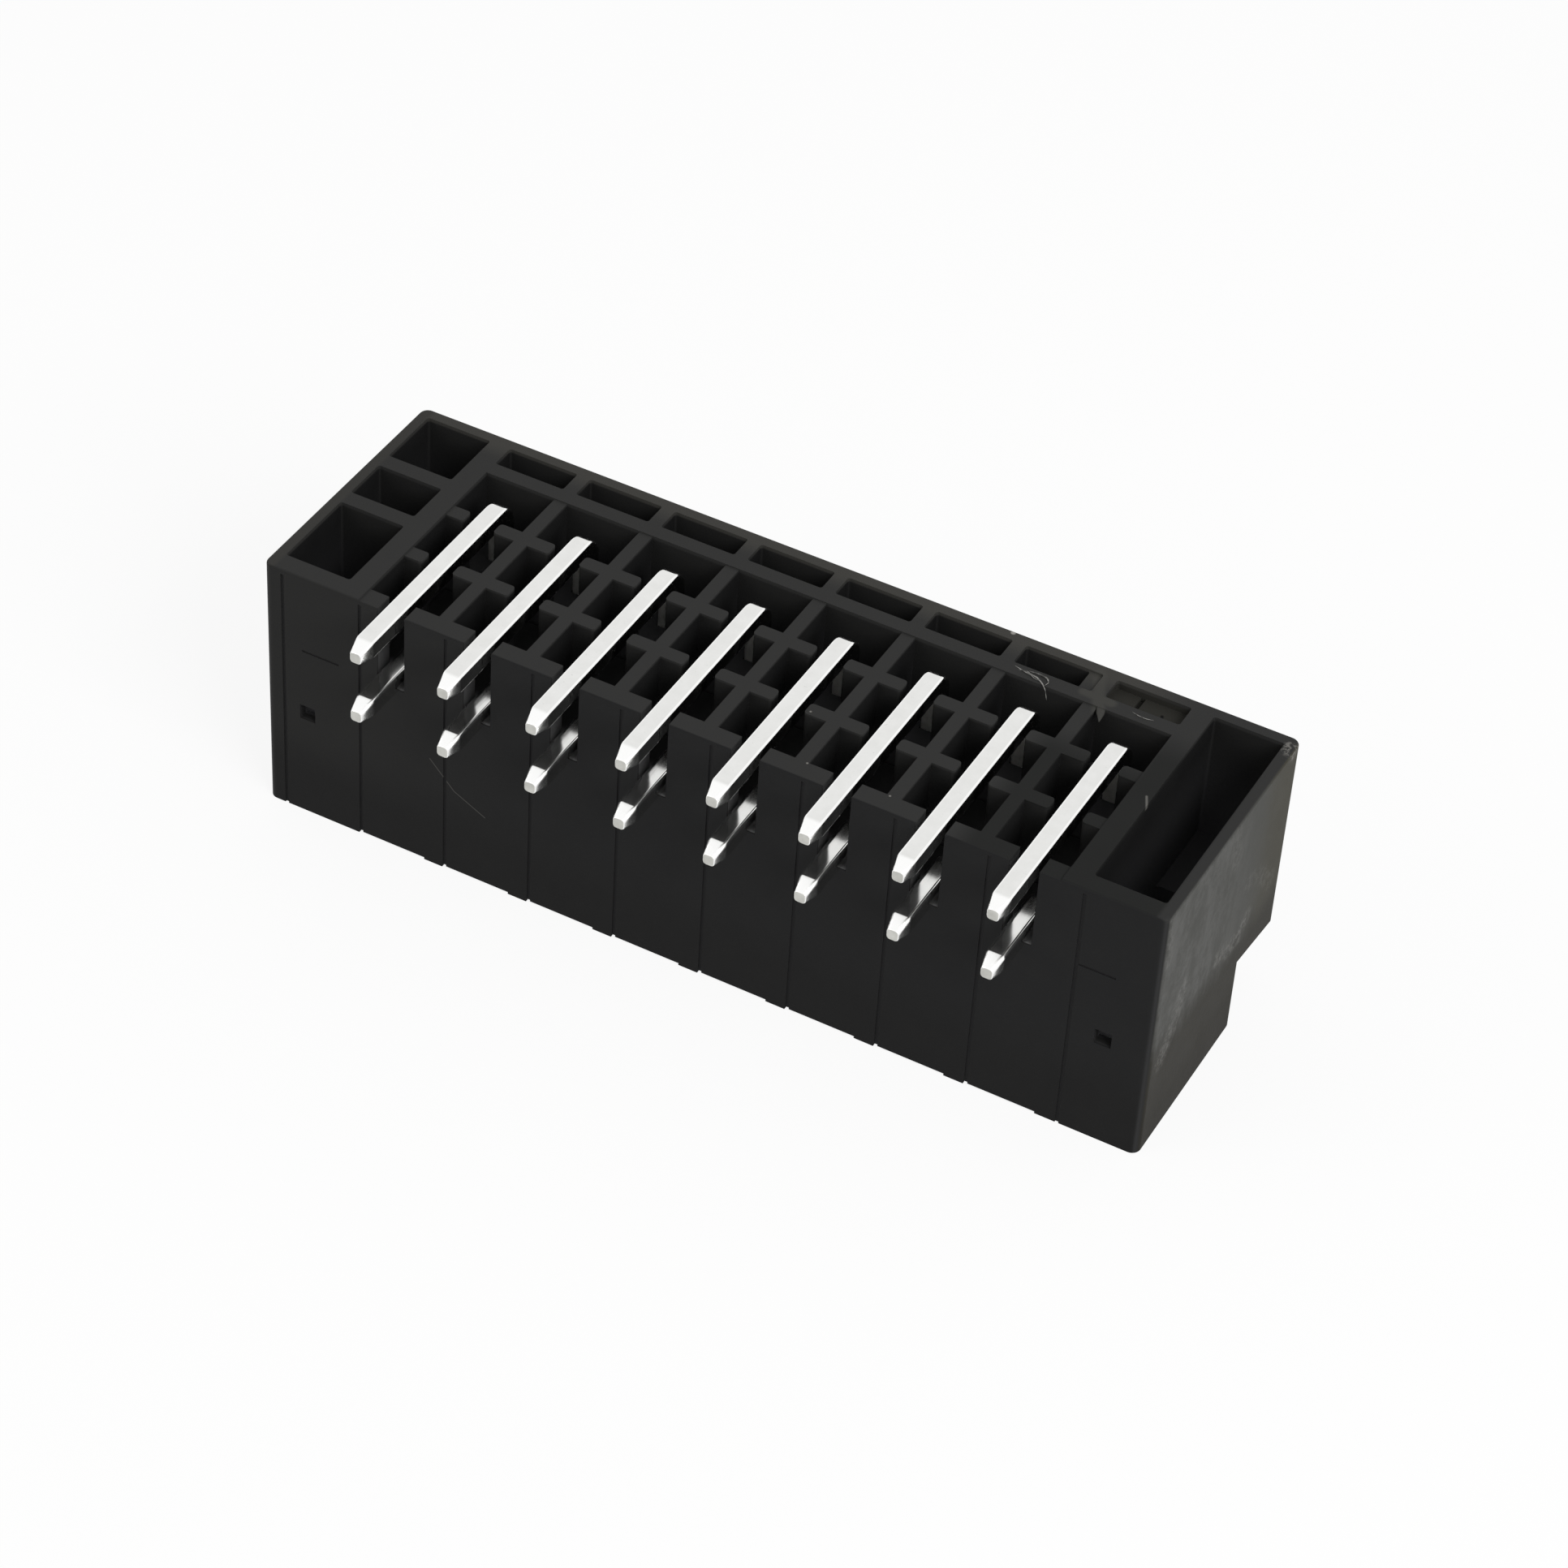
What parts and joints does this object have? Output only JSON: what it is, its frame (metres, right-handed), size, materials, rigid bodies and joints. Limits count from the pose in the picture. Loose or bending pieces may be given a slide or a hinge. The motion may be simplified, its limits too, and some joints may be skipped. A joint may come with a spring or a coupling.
{
  "type": "pluggable terminal block",
  "caption": "Right-angle board header of a pluggable terminal block: black housing with cored chambers, stacked plug sockets underneath and bent square contact pins.",
  "frame": {"origin": "on the plane of the plug-side rim, below the middle of the whole part", "axes": "+X along the row of poles, -Y out of the board face with the solder tails, +Z away from the plug side"},
  "size_m": [0.0508, 0.0188, 0.0157],
  "materials": {
    "housing_plastic": "black moulded, satin",
    "tinned_pin": "bright tin plating"
  },
  "bodies": {
    "root": {"housing": "housing_plastic", "upper_pin_1": "tinned_pin", "upper_pin_2": "tinned_pin", "upper_pin_3": "tinned_pin", "upper_pin_4": "tinned_pin", "upper_pin_5": "tinned_pin", "upper_pin_6": "tinned_pin", "upper_pin_7": "tinned_pin", "upper_pin_8": "tinned_pin", "lower_pin_1": "tinned_pin", "lower_pin_2": "tinned_pin", "lower_pin_3": "tinned_pin", "lower_pin_4": "tinned_pin", "lower_pin_5": "tinned_pin", "lower_pin_6": "tinned_pin", "lower_pin_7": "tinned_pin", "lower_pin_8": "tinned_pin"}
  },
  "joints": []
}
